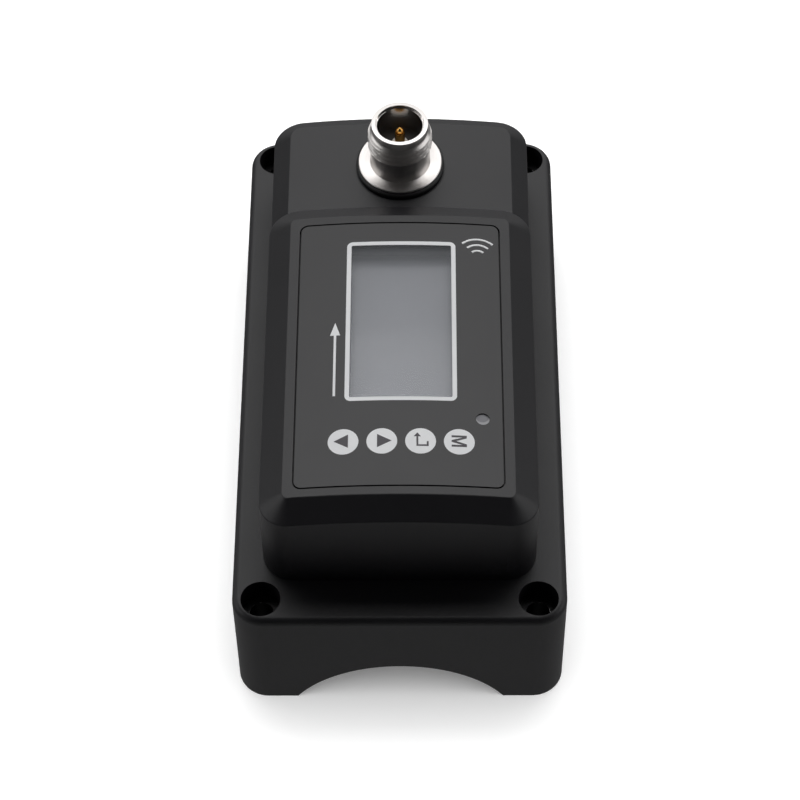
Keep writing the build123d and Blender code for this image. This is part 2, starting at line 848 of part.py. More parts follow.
with BuildPart() as connector_shell:
    with BuildSketch(connector_plane):
        with BuildLine():
            Polyline(
                (shoulder_radius, connector_end_z),
                (tail_radius, connector_end_z),
                (tail_radius, flange_z),
                (flange_diameter / 2, flange_z),
                (flange_diameter / 2, neck_z),
                (neck_radius, neck_z),
                (neck_radius, thread_z),
                (tail_radius, thread_z),
                (tail_radius, groove_z),
                (groove_radius, groove_z),
                (groove_radius, collar_z),
                (collar_radius, collar_z),
                (collar_radius, rim_z),
                (socket_mouth_diameter / 2, rim_z),
                (socket_mouth_diameter / 2, rim_z - socket_mouth_depth),
                (socket_radius, rim_z - socket_mouth_depth),
                (socket_radius, shoulder_z),
                (shoulder_radius, shoulder_z),
                close=True,
            )
        make_face()
    revolve(axis=connector_axis)
finish(connector_shell, "connector_shell")

with BuildPart() as connector_seal:
    with BuildSketch(connector_plane):
        with Locations(((seal_diameter - seal_section) / 2, seal_seat_z + seal_section / 2)):
            Circle(seal_section / 2)
    revolve(axis=connector_axis)
finish(connector_seal, "connector_seal")

with BuildPart() as connector_insulator:
    with BuildSketch(connector_plane):
        with BuildLine():
            Polyline(
                (pin_diameter / 2, connector_end_z),
                (shoulder_radius, connector_end_z),
                (shoulder_radius, shoulder_z),
                (socket_radius, shoulder_z),
                (socket_radius, insulator_z),
                (boss_diameter / 2, insulator_z),
                (boss_diameter / 2, insulator_z - boss_root),
                (pin_diameter / 2, insulator_z - boss_root),
                close=True,
            )
        make_face()
    revolve(axis=connector_axis)
finish(connector_insulator, "connector_insulator")

with BuildPart() as pin_boss:
    with BuildSketch(Plane.XY.offset(insulator_z - boss_root)):
        with Locations((0, connector_y)):
            Circle(boss_diameter / 2)
            Circle(pin_diameter / 2, mode=Mode.SUBTRACT)
    extrude(amount=boss_root + boss_rise)
    fillet(pin_boss.edges().group_by(Axis.Z)[-1].sort_by(SortBy.RADIUS)[-1], radius=boss_edge)
finish(pin_boss, "pin_boss")

pin_low_z = connector_end_z - pin_tail
pin_top_z = rim_z - pin_below_rim
pin_shoulder = (pin_diameter / 2, pin_top_z - pin_nose_length)
pin_tip = (pin_tip_diameter / 2, pin_top_z)
with BuildPart() as contact_pin:
    with BuildSketch(connector_plane):
        with BuildLine():
            Polyline(pin_tip, (0, pin_top_z), (0, pin_low_z), (pin_diameter / 2, pin_low_z), pin_shoulder)
            TangentArc(pin_shoulder, pin_tip, tangent=(0, 1))
        make_face()
    revolve(axis=connector_axis)
finish(contact_pin, "contact_pin")

with BuildPart() as lock_nut:
    with BuildSketch(Plane.XY.offset(nut_seat_z)):
        with Locations((0, connector_y)):
            RegularPolygon(lock_nut_size / 2, lock_nut_sides, major_radius=False)
            Circle(tail_radius, mode=Mode.SUBTRACT)
    extrude(amount=-lock_nut_height)
finish(lock_nut, "lock_nut")

with BuildPart() as connector_lead:
    with BuildSketch(Plane.XY.offset(main_board_top_z)):
        with Locations((0, connector_y)):
            Circle(connector_lead_diameter / 2)
    extrude(amount=pin_low_z - main_board_top_z)
finish(connector_lead, "connector_lead")
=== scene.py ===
import math

import bmesh
import bpy
from bpy.props import FloatProperty, FloatVectorProperty, IntProperty, PointerProperty
from mathutils import Matrix, Vector


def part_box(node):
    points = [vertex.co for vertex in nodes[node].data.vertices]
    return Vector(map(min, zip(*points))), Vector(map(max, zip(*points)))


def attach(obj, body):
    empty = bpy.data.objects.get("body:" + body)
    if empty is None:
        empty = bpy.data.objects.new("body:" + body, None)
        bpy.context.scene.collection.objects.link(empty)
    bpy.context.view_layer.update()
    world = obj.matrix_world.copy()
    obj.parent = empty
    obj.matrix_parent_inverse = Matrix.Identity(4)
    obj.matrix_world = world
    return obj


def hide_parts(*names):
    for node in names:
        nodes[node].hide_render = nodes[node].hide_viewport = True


bl_info = {
    "name": "Clamp-on Flow Meter",
    "version": (1, 0, 0),
    "blender": (4, 5, 0),
    "location": "View3D > Sidebar > Flow Meter",
    "description": "Dresses the packed clamp-on flow meter and sets up its studio",
    "category": "Object",
}

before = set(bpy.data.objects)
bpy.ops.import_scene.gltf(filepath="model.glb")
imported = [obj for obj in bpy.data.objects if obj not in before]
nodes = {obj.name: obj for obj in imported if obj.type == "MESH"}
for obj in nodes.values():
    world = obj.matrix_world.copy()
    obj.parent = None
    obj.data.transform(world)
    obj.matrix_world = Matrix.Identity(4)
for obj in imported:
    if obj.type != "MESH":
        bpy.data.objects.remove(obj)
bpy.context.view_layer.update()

MM = 0.001

# The four screw holes' places in the base
HOLE_X = 24.2 * MM
HOLE_Y = 50.2 * MM
HOLE_FLOOR_Z = 20.9 * MM
HOLE_RADIUS = 2.1 * MM

# The connector: radii, and drops below its rim
CREST_RADIUS = 5.93 * MM
NECK_RADIUS = 5.55 * MM
GROOVE_RADIUS = 5.05 * MM
COLLAR_RADIUS = 5.25 * MM
CORE_RADIUS = 5.0 * MM
MOUTH_RADIUS = 4.45 * MM
BORE_RADIUS = 4.2 * MM
TAIL_BORE_RADIUS = 4.6 * MM
MOUTH_DEPTH = 0.5 * MM
BORE_DEPTH = 8.3 * MM
COLLAR_DROP = 1.55 * MM
THREAD_DROP = 2.05 * MM
THREAD_LENGTH = 3.6 * MM
FLANGE_DROP = 10.35 * MM
FLANGE_THICKNESS = 0.5 * MM
CONNECTOR_EDGE = 0.09 * MM
CONNECTOR_COLUMNS = 256

# The thread: shares of a turn that are flat, slopes of its ends, and where it starts
CREST_FLAT = 0.125
ROOT_FLAT = 0.25
LEAD_IN_SLOPE = 1.6
RUN_OUT_SLOPE = 1.1
RUN_OUT_ROOM = 0.3 * MM
THREAD_ROWS = 76
THREAD_PHASE = 0.31
CREASE_DEGREES = 32

# The signs on the keys and the arrow beside the display, in millimetres
LEFT_SIGN = [(-11.23, -31.24), (-8.74, -32.62), (-8.74, -29.86)]
RIGHT_SIGN = [(-3.75, -32.66), (-1.24, -31.28), (-3.75, -29.9)]
ENTER_SIGN = [
    (3.02, -32.4), (5.12, -32.4), (5.12, -31.4), (4.8, -31.4), (4.8, -32.08), (3.34, -32.08),
    (3.34, -30.4), (3.78, -30.4), (3.18, -29.6), (2.54, -30.4), (3.02, -30.4),
]
MODE_SIGN = [
    (11.68, -30.05), (9.06, -30.05), (9.06, -30.45), (11.0, -30.45), (9.06, -31.05),
    (9.06, -31.41), (11.0, -32.01), (9.06, -32.01), (9.06, -32.41), (11.68, -32.41),
    (11.68, -31.86), (9.85, -31.23), (11.68, -30.6),
]
FLOW_ARROW = [
    (-11.58, -21.6), (-11.14, -21.6), (-11.14, -8.4), (-10.46, -8.4), (-11.36, -5.6),
    (-12.26, -8.4), (-11.58, -8.4),
]
ARC_START = math.radians(48)
ARC_SWEEP = math.radians(84)
ARC_STEPS = 24

# The studio: each softbox's name, place, target, size and radiance, in metres
SOFTBOXES = (
    ("key", (0.0, 0.45, 1.05), (0.0, 0.0, 0.04), (1.3, 0.5), 2.2),
    ("sweep", (0.0, 1.25, 0.75), (0.0, 0.0, 0.05), (2.4, 1.5), 1.15),
    ("left", (-1.0, 0.1, 0.45), (0.0, 0.0, 0.03), (0.9, 0.7), 1.2),
    ("right", (1.0, 0.1, 0.45), (0.0, 0.0, 0.03), (0.9, 0.7), 1.2),
)
FLOOR_WASH = ("wash", (0.0, -0.1, 1.2), (0.0, 0.0, 0.0), (1.2, 1.2), 3.0)
FLOOR_HALF_WIDTH = 3.0
FLOOR_GLOW = 0.2
SURROUND_BELOW = 0.3
SURROUND_ABOVE = 0.03
HORIZON_BLEND = 0.05

# The camera, as fitted to the photograph
CAMERA_PLACE = Vector((4.2217, -292.188, 421.941)) * MM
CAMERA_RIGHT = Vector((0.99995861, 0.00311206, -0.00854933))
CAMERA_UP = Vector((0.00245731, 0.81237483, 0.58313043))
CAMERA_AHEAD = Vector((-0.00876, 0.5831273, -0.81233356))
CAMERA_LENS = 119.85
SENSOR_WIDTH = 36.0


# Shader and geometry node trees


class Field:
    """A node socket that Python's operators join to others by Math nodes."""

    def __init__(self, graph, socket):
        self.graph = graph
        self.socket = socket

    def math(self, operation, *values):
        inputs = dict(enumerate(values))
        return self.graph.node("ShaderNodeMath", {"operation": operation}, inputs)

    def __add__(self, other):
        return self.math("ADD", self, other)

    def __radd__(self, other):
        return self.math("ADD", other, self)

    def __sub__(self, other):
        return self.math("SUBTRACT", self, other)

    def __rsub__(self, other):
        return self.math("SUBTRACT", other, self)

    def __mul__(self, other):
        return self.math("MULTIPLY", self, other)

    def __rmul__(self, other):
        return self.math("MULTIPLY", other, self)

    def __truediv__(self, other):
        return self.math("DIVIDE", self, other)

    def __rtruediv__(self, other):
        return self.math("DIVIDE", other, self)

    def __pow__(self, other):
        return self.math("POWER", self, other)

    def __abs__(self):
        return self.math("ABSOLUTE", self)

    def above(self, limit):
        return self.math("GREATER_THAN", self, limit)

    def below(self, limit):
        return self.math("LESS_THAN", self, limit)

    def at_most(self, limit):
        return self.math("MINIMUM", self, limit)

    def at_least(self, limit):
        return self.math("MAXIMUM", self, limit)

    def fraction(self):
        return self.math("FRACT", self)

    def distance(self, other):
        """How far the point (self, other) lies from the origin."""
        return (self * self + other * other) ** 0.5

    def turn(self, other):
        """The angle of the point (self, other) round the origin, in radians."""
        return self.math("ARCTAN2", other, self)

    def fade(self, low, high):
        """0 below low and 1 above high, with an even slope between."""
        return ((self - low) / (high - low)).at_least(0.0).at_most(1.0)


class Graph:
    """A node tree, whose nodes all come from one method."""

    def __init__(self, tree):
        self.tree = tree

    def node(self, kind, settings=None, inputs=None, output=0):
        node = self.tree.nodes.new(kind)
        for name, value in (settings or {}).items():
            setattr(node, name, value)
        for key, value in (inputs or {}).items():
            if isinstance(value, Field):
                self.tree.links.new(value.socket, node.inputs[key])
            else:
                node.inputs[key].default_value = value
        return Field(self, node.outputs[output]) if node.outputs else None

    def parts(self, vector):
        """The x, y and z of a vector."""
        return tuple(
            self.node("ShaderNodeSeparateXYZ", inputs={0: vector}, output=axis) for axis in range(3)
        )

    def vector(self, x, y, z):
        return self.node("ShaderNodeCombineXYZ", inputs={0: x, 1: y, 2: z})


class Finish(Graph):
    """A material's tree, with the patterns that the finishes share."""

    def __init__(self, name):
        self.material = bpy.data.materials.new(name)
        self.material.use_nodes = True
        super().__init__(self.material.node_tree)
        self.tree.nodes.clear()
        self.place = self.node("ShaderNodeTexCoord", output=3)
        self.x, self.y, self.z = self.parts(self.place)

    def noise(self, size, detail=2.0, roughness=0.5, vector=None):
        return self.node(
            "ShaderNodeTexNoise",
            inputs={
                "Vector": vector or self.place,
                "Scale": 1.0 / size,
                "Detail": detail,
                "Roughness": roughness,
            },
        )

    def mix(self, share, first, second):
        """Two colours, each plain or a field, blended by a share from 0 to 1."""
        inputs = {0: share}
        for key, color in ((6, first), (7, second)):
            inputs[key] = color if isinstance(color, Field) else (*color, 1.0)
        return self.node("ShaderNodeMix", {"data_type": "RGBA"}, inputs, output=2)

    def shades(self, share, color, darkest, lightest=1.0):
        """A colour that goes from one shade of itself to another by a share from 0 to 1."""
        dark = tuple(darkest * part for part in color)
        light = tuple(min(1.0, lightest * part) for part in color)
        return self.mix(share, dark, light)

    def bump(self, height, distance, strength=1.0, under=None):
        inputs = {"Height": height, "Distance": distance, "Strength": strength}
        if under:
            inputs["Normal"] = under
        return self.node("ShaderNodeBump", inputs=inputs)

    def surface(self, **sockets):
        """Ends the tree in one Principled shader and returns the material."""
        names = {name.replace("_", " ").title(): value for name, value in sockets.items()}
        names = {("IOR" if name == "Ior" else name): value for name, value in names.items()}
        for name, value in names.items():
            if isinstance(value, tuple):
                names[name] = (*value, 1.0)
        shader = self.node("ShaderNodeBsdfPrincipled", inputs=names)
        self.node("ShaderNodeOutputMaterial", inputs={"Surface": shader})
        return self.material


# Finishes


def grained_black(name, color, grain, depth, roughness):
    """Matte black with a fine grain, as on a coated casting or a textured moulding."""
    finish = Finish(name)
    fine = finish.noise(grain, 3.0, 0.6)
    broad = finish.noise(12 * MM, 3.0)
    tone = 0.82 + broad * 0.22 + fine * 0.14
    even = roughness - 0.05
    return finish, {
        "base_color": finish.shades(tone.fade(0.8, 1.2), color, 0.86, 1.14),
        "roughness": even + broad * 0.06 + fine * 0.04,
        "normal": finish.bump(fine, depth),
    }


def coated_casting(colors):
    """The base's coat, worn to bare metal at the rims of the four screw holes."""
    chip_width, chip_height = 0.1 * MM, 0.22 * MM
    bare_color, bare_roughness = (0.5, 0.5, 0.5), 0.32
    finish, sockets = grained_black("coated_casting", colors.casting, 0.32 * MM, 0.02 * MM, 0.46)
    away = (abs(finish.x) - HOLE_X).distance(abs(finish.y) - HOLE_Y)
    worn = finish.noise(0.6 * MM, 2.0)
    ring = (away - HOLE_RADIUS + worn * chip_width).below(chip_width)
    level = abs(finish.z - HOLE_FLOOR_Z).below(chip_height)
    chips = finish.noise(1.1 * MM, 1.0).above(0.56)
    bare = ring * level * chips
    sockets["base_color"] = finish.mix(bare, sockets["base_color"], bare_color)
    sockets["roughness"] = sockets["roughness"] * (1.0 - bare) + bare * bare_roughness
    return finish.surface(metallic=bare, **sockets)


def moulded_black(colors):
    """The housing's moulding."""
    finish, sockets = grained_black("moulded_black", colors.moulding, 0.26 * MM, 0.012 * MM, 0.43)
    return finish.surface(**sockets)


def plastic(name, color, roughness, grain=0.4 * MM, depth=0.006 * MM):
    """Plain plastic, rubber, ink or film with a faint cloud and grain."""
    finish = Finish(name)
    fine = finish.noise(grain, 2.0)
    broad = finish.noise(7 * MM, 2.0)
    return finish.surface(
        base_color=finish.shades(broad, color, 0.92, 1.06),
        roughness=roughness - 0.04 + fine * 0.08,
        normal=finish.bump(fine, depth),
    )


def turned_metal(name, color, roughness, axis_y, polished):
    """Metal turned about an upright axis, with fine rings that end inside the polished radius."""
    streak, depth = 0.07 * MM, 0.01 * MM
    streaks_per_radian = 1.6
    polished_roughness = 0.14
    finish = Finish(name)
    from_axis = finish.y - axis_y
    radius = finish.x.distance(from_axis)
    turn = finish.x.turn(from_axis)
    along = finish.vector(radius / streak, turn * streaks_per_radian, finish.z / streak)
    rings = finish.noise(1.0, 3.0, 0.65, along)
    cloud = finish.noise(3 * MM, 3.0)
    share = rings * 0.6 + cloud * 0.4
    brushed = radius.above(polished)
    rougher = roughness - 0.08 - polished_roughness + rings * 0.12 + cloud * 0.06
    return finish.surface(
        base_color=finish.shades(share.fade(0.25, 0.7), color, 0.8),
        metallic=1.0,
        roughness=rougher * brushed + polished_roughness,
        normal=finish.bump(rings * brushed, depth),
    )


def plain_metal(name, color, roughness):
    """Small plated or drawn metal pieces."""
    finish = Finish(name)
    fine = finish.noise(0.15 * MM, 3.0)
    return finish.surface(
        base_color=finish.shades(fine, color, 0.85),
        metallic=1.0,
        roughness=roughness - 0.06 + fine * 0.12,
        normal=finish.bump(fine, 0.002 * MM),
    )


def label_plate(colors):
    """The panel's dark plate: smooth, with a faint waviness and a few fine scuffs."""
    finish = Finish("label_plate")
    wave = finish.noise(6 * MM, 2.0)
    fine = finish.noise(0.2 * MM, 2.0)
    return finish.surface(
        base_color=finish.shades(fine * 0.5 + wave * 0.5, colors.panel, 0.93),
        roughness=0.34 + fine * 0.06 + wave * 0.04,
        normal=finish.bump(fine, 0.003 * MM, under=finish.bump(wave, 0.01 * MM)),
    )


def clear_lens():
    """The window: clear, with a faint reflection."""
    finish = Finish("clear_lens")
    wave = finish.noise(9 * MM, 1.0)
    return finish.surface(
        base_color=(0.75, 0.78, 0.82),
        roughness=0.06 + wave * 0.03,
        alpha=0.1,
        ior=1.49,
        normal=finish.bump(wave, 0.004 * MM),
    )


def display_cell(colors, low, high):
    """The unlit liquid crystal: grey-blue, with its dots faintly seen and its rear half darker as
    painted shade.
    """
    dot_pitch, dot_half = 0.31 * MM, 0.46
    gap_color, gap_share = (0.2, 0.2, 0.22), 0.05
    finish = Finish("display_cell")
    across = abs((finish.x / dot_pitch).fraction() - 0.5).above(dot_half)
    down = abs((finish.y / dot_pitch).fraction() - 0.5).above(dot_half)
    grid = (across + down).at_most(1.0)
    # Painted shade: from the front edge to the middle the colour darkens to a shaded copy of the
    # display's colour, which holds to the rear.
    along = finish.y.fade(low.y, (low.y + high.y) / 2)
    cloud = finish.noise(8 * MM, 2.0)
    painted_shade_rear = tuple(0.78 * part for part in colors.display)
    tone = finish.mix(along * 0.8 + cloud * 0.2, colors.display, painted_shade_rear)
    return finish.surface(
        base_color=finish.mix(grid * gap_share, tone, gap_color),
        roughness=0.3 + cloud * 0.05,
        coat_weight=0.3,
        coat_roughness=0.05,
    )


def circuit_board():
    """Green solder mask with tracks showing through as a pale pattern."""
    track_pitch, track_share = 1.27 * MM, 0.25
    finish = Finish("circuit_board")
    along_y = (finish.x / track_pitch).fraction().below(track_share)
    along_x = (finish.y / track_pitch).fraction().below(track_share)
    cells = finish.noise(5 * MM, 0.0)
    track = along_y * cells.above(0.5) + along_x * cells.below(0.5)
    return finish.surface(
        base_color=finish.mix(track * 0.6, (0.01, 0.09, 0.035), (0.03, 0.2, 0.08)),
        roughness=0.35,
        normal=finish.bump(track, 0.03 * MM),
    )


def status_window(low, high):
    """The frosted end of the light pipe: darker inside as painted shade, with a paler painted lit
    crescent at its lower edge.
    """
    # The painted shade's disc sits off the pipe's centre towards the rear, leaving the painted lit
    # crescent at the front edge.
    shift_x, shift_y = -0.1 * MM, 0.7 * MM
    finish = Finish("status_window")
    frost = finish.noise(0.3 * MM, 2.0)
    from_x = finish.x - ((low.x + high.x) / 2 + shift_x)
    from_y = finish.y - ((low.y + high.y) / 2 + shift_y)
    painted_lit_crescent = from_x.distance(from_y).fade(1.15 * MM, 1.3 * MM)
    # Painted shade over the inside, mottled by the frost.
    inside = finish.mix(frost, (0.16, 0.16, 0.18), (0.2, 0.2, 0.22))
    return finish.surface(
        base_color=finish.mix(painted_lit_crescent, inside, (0.36, 0.36, 0.38)),
        roughness=0.3 + frost * 0.1,
        normal=finish.bump(frost, 0.01 * MM),
    )


# Meshes


def piece_from(name, mesh_data, material, body="root"):
    """A finished piece: its mesh, its material and its place in the frame."""
    piece = bpy.data.objects.new(name, mesh_data)
    bpy.context.scene.collection.objects.link(piece)
    mesh_data.materials.clear()
    mesh_data.materials.append(material)
    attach(piece, body)
    return piece


def lathe(profile, columns, center_y):
    """A closed profile of (radius, height) points turned about an upright axis."""
    form = bmesh.new()
    rings = []
    for radius, height in profile:
        ring = []
        for column in range(columns):
            turn = 2 * math.pi * column / columns
            x, y = radius * math.cos(turn), radius * math.sin(turn)
            ring.append(form.verts.new((x, center_y + y, height)))
        rings.append(ring)
    for lower, upper in zip(rings, rings[1:] + rings[:1]):
        for column in range(columns):
            after = (column + 1) % columns
            form.faces.new((lower[column], lower[after], upper[after], upper[column]))
    bmesh.ops.recalc_face_normals(form, faces=form.faces)
    made = bpy.data.meshes.new("lathe")
    form.to_mesh(made)
    form.free()
    return made


def smooth_by_angle(made, degrees):
    """Smooth faces, with edges sharper than the angle kept crisp."""
    made.shade_smooth()
    form = bmesh.new()
    form.from_mesh(made)
    limit = math.radians(degrees)
    for edge in form.edges:
        if len(edge.link_faces) == 2 and edge.calc_face_angle(0.0) > limit:
            edge.smooth = False
    form.to_mesh(made)
    form.free()
    return made


def rule(name, sizes):
    """An empty geometry tree with named number inputs, as (graph, its geometry, its inputs)."""
    tree = bpy.data.node_groups.new(name, "GeometryNodeTree")
    tree.interface.new_socket("Geometry", in_out="INPUT", socket_type="NodeSocketGeometry")
    tree.interface.new_socket("Geometry", in_out="OUTPUT", socket_type="NodeSocketGeometry")
    for size in sizes:
        kind = "NodeSocketInt" if isinstance(sizes[size], int) else "NodeSocketFloat"
        tree.interface.new_socket(size, in_out="INPUT", socket_type=kind)
    graph = Graph(tree)
    entry = tree.nodes.new("NodeGroupInput")
    fields = {size: Field(graph, entry.outputs[size]) for size in sizes}
    return graph, Field(graph, entry.outputs["Geometry"]), fields


def end_rule(graph, geometry, material):
    """Ends a geometry tree in Realize Instances and Set Material."""
    real = graph.node("GeometryNodeRealizeInstances", inputs={0: geometry})
    painted = graph.node("GeometryNodeSetMaterial", inputs={0: real, "Material": material})
    graph.node("NodeGroupOutput", inputs={0: painted})


def follow_rule(made, graph, sizes):
    """The mesh that a geometry tree makes of another mesh."""
    carrier = bpy.data.objects.new("carrier", made)
    bpy.context.scene.collection.objects.link(carrier)
    modifier = carrier.modifiers.new("rule", "NODES")
    modifier.node_group = graph.tree
    for item in graph.tree.interface.items_tree:
        if item.in_out == "INPUT" and item.name in sizes:
            modifier[item.identifier] = sizes[item.name]
    evaluated = carrier.evaluated_get(bpy.context.evaluated_depsgraph_get())
    result = bpy.data.meshes.new_from_object(evaluated)
    carrier.modifiers.remove(modifier)
    bpy.data.objects.remove(carrier)
    return result


def crown_height(x):
    """The display block's top above a place across it."""
    sizes = bpy.context.scene.meter_sizes
    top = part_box("panel_print")[1].z
    return top - sizes.crown_radius + math.sqrt(sizes.crown_radius**2 - x * x)


def flat_marks(name, outlines, thickness, sink):
    """Printed shapes on the crown: each outline becomes a thin plate that follows it."""
    form = bmesh.new()
    for outline in outlines:
        ring = [form.verts.new((x * MM, y * MM, 0.0)) for x, y in outline]
        form.faces.new(ring)
    form.normal_update()
    bmesh.ops.triangulate(form, faces=form.faces)
    solid = bmesh.ops.extrude_face_region(form, geom=form.faces[:], use_keep_orig=True)
    top = [item for item in solid["geom"] if isinstance(item, bmesh.types.BMVert)]
    for vert in form.verts:
        vert.co.z = crown_height(vert.co.x) - sink
    for vert in top:
        vert.co.z += thickness
    bmesh.ops.recalc_face_normals(form, faces=form.faces)
    made = bpy.data.meshes.new(name)
    form.to_mesh(made)
    form.free()
    return made


# Sizes and colours that a user may change


class MeterSizes(bpy.types.PropertyGroup):
    """Sizes of the pieces that are made here."""

    crown_radius: FloatProperty(
        name="Crown radius",
        description="Radius of the display block's curved top",
        default=0.150,
        unit="LENGTH",
    )
    thread_pitch: FloatProperty(
        name="Thread pitch",
        description="Rise of the connector's thread in one turn",
        default=0.001,
        unit="LENGTH",
    )
    thread_depth: FloatProperty(
        name="Thread depth",
        description="From the thread's crest to its root",
        default=0.00061,
        unit="LENGTH",
    )
    wave_count: IntProperty(
        name="Wave arcs",
        description="Arcs in the wave mark on the panel",
        default=3,
        min=1,
    )
    print_thickness: FloatProperty(
        name="Ink thickness",
        description="Thickness of the marks printed on the panel",
        default=0.00002,
        unit="LENGTH",
    )


class MeterColors(bpy.types.PropertyGroup):
    """Main colours."""

    casting: FloatVectorProperty(
        name="Base",
        description="Colour of the base's coat",
        default=(0.0068, 0.0064, 0.0085),
        subtype="COLOR",
    )
    moulding: FloatVectorProperty(
        name="Housing",
        description="Colour of the housing's moulding",
        default=(0.0068, 0.0064, 0.0085),
        subtype="COLOR",
    )
    panel: FloatVectorProperty(
        name="Panel",
        description="Colour of the label plate",
        default=(0.009, 0.0086, 0.0105),
        subtype="COLOR",
    )
    display: FloatVectorProperty(
        name="Display",
        description="Colour of the unlit display",
        default=(0.29, 0.3, 0.34),
        subtype="COLOR",
    )
    ink: FloatVectorProperty(
        name="Ink",
        description="Colour of the printed frame, keys and marks",
        default=(0.93, 0.94, 0.97),
        subtype="COLOR",
    )
    legend: FloatVectorProperty(
        name="Legends",
        description="Colour of the signs on the keys",
        default=(0.05, 0.045, 0.055),
        subtype="COLOR",
    )


# Operators, one for each piece or group of like pieces


def dress(material, *names):
    """Give CAD nodes a finish."""
    for name in names:
        slots = nodes[name].data.materials
        slots.clear()
        slots.append(material)


class DressCasings(bpy.types.Operator):
    """Finish the base and the housing"""

    bl_idname = "meter.dress_casings"
    bl_label = "Base and Housing"

    def execute(self, context):
        colors = context.scene.meter_colors
        dress(coated_casting(colors), "base_body")
        dress(moulded_black(colors), "upper_housing")
        dress(plastic("gasket_rubber", (0.012, 0.012, 0.012), 0.75), "housing_gasket")
        return {"FINISHED"}


class DressPanel(bpy.types.Operator):
    """Finish the panel, its window, its ink and the status light"""

    bl_idname = "meter.dress_panel"
    bl_label = "Panel"

    def execute(self, context):
        colors = context.scene.meter_colors
        dress(label_plate(colors), "front_panel")
        dress(clear_lens(), "display_window")
        dress(plastic("white_ink", tuple(colors.ink), 0.42), "panel_print")
        dress(status_window(*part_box("light_pipe")), "light_pipe")
        dress(display_cell(colors, *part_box("lcd_cell")), "lcd_cell")
        dress(plastic("grey_frame", (0.13, 0.14, 0.16), 0.5), "lcd_spacer", "key_sensor_posts")
        dress(plastic("backlight_white", (0.78, 0.78, 0.76), 0.5), "lcd_backlight", "status_led")
        return {"FINISHED"}


class DressInside(bpy.types.Operator):
    """Finish the boards, the sensors and the fasteners"""

    bl_idname = "meter.dress_inside"
    bl_label = "Boards, Sensors and Screws"

    def execute(self, context):
        dress(circuit_board(), "main_board", "display_board")
        black = plastic("black_plastic", (0.02, 0.02, 0.022), 0.45)
        dress(black, "main_socket", "display_socket", "signal_processor")
        dress(plastic("ribbon_film", (0.5, 0.23, 0.05), 0.3), "board_ribbon")
        wedge = plastic("wedge_plastic", (0.62, 0.52, 0.34), 0.5)
        dress(wedge, "front_transducer_wedge", "rear_transducer_wedge")
        ceramic = plain_metal("silvered_ceramic", (0.7, 0.69, 0.66), 0.4)
        dress(ceramic, "front_piezo_disc", "rear_piezo_disc")
        rubber = plastic("soft_rubber", (0.018, 0.018, 0.019), 0.8, 0.25 * MM, 0.02 * MM)
        dress(rubber, "front_damping_block", "rear_damping_block")
        dress(rubber, "front_coupling_pad", "rear_coupling_pad")
        wire = plastic("wire_sleeve", (0.4, 0.03, 0.025), 0.45)
        dress(wire, "front_sensor_lead", "rear_sensor_lead", "connector_lead")
        steel = plain_metal("plated_steel", (0.62, 0.62, 0.61), 0.3)
        dress(steel, "housing_screws", "display_board_screws", "main_board_screws", "lock_nut")
        dress(plain_metal("turned_brass", (0.72, 0.52, 0.24), 0.35), "screw_inserts")
        return {"FINISHED"}


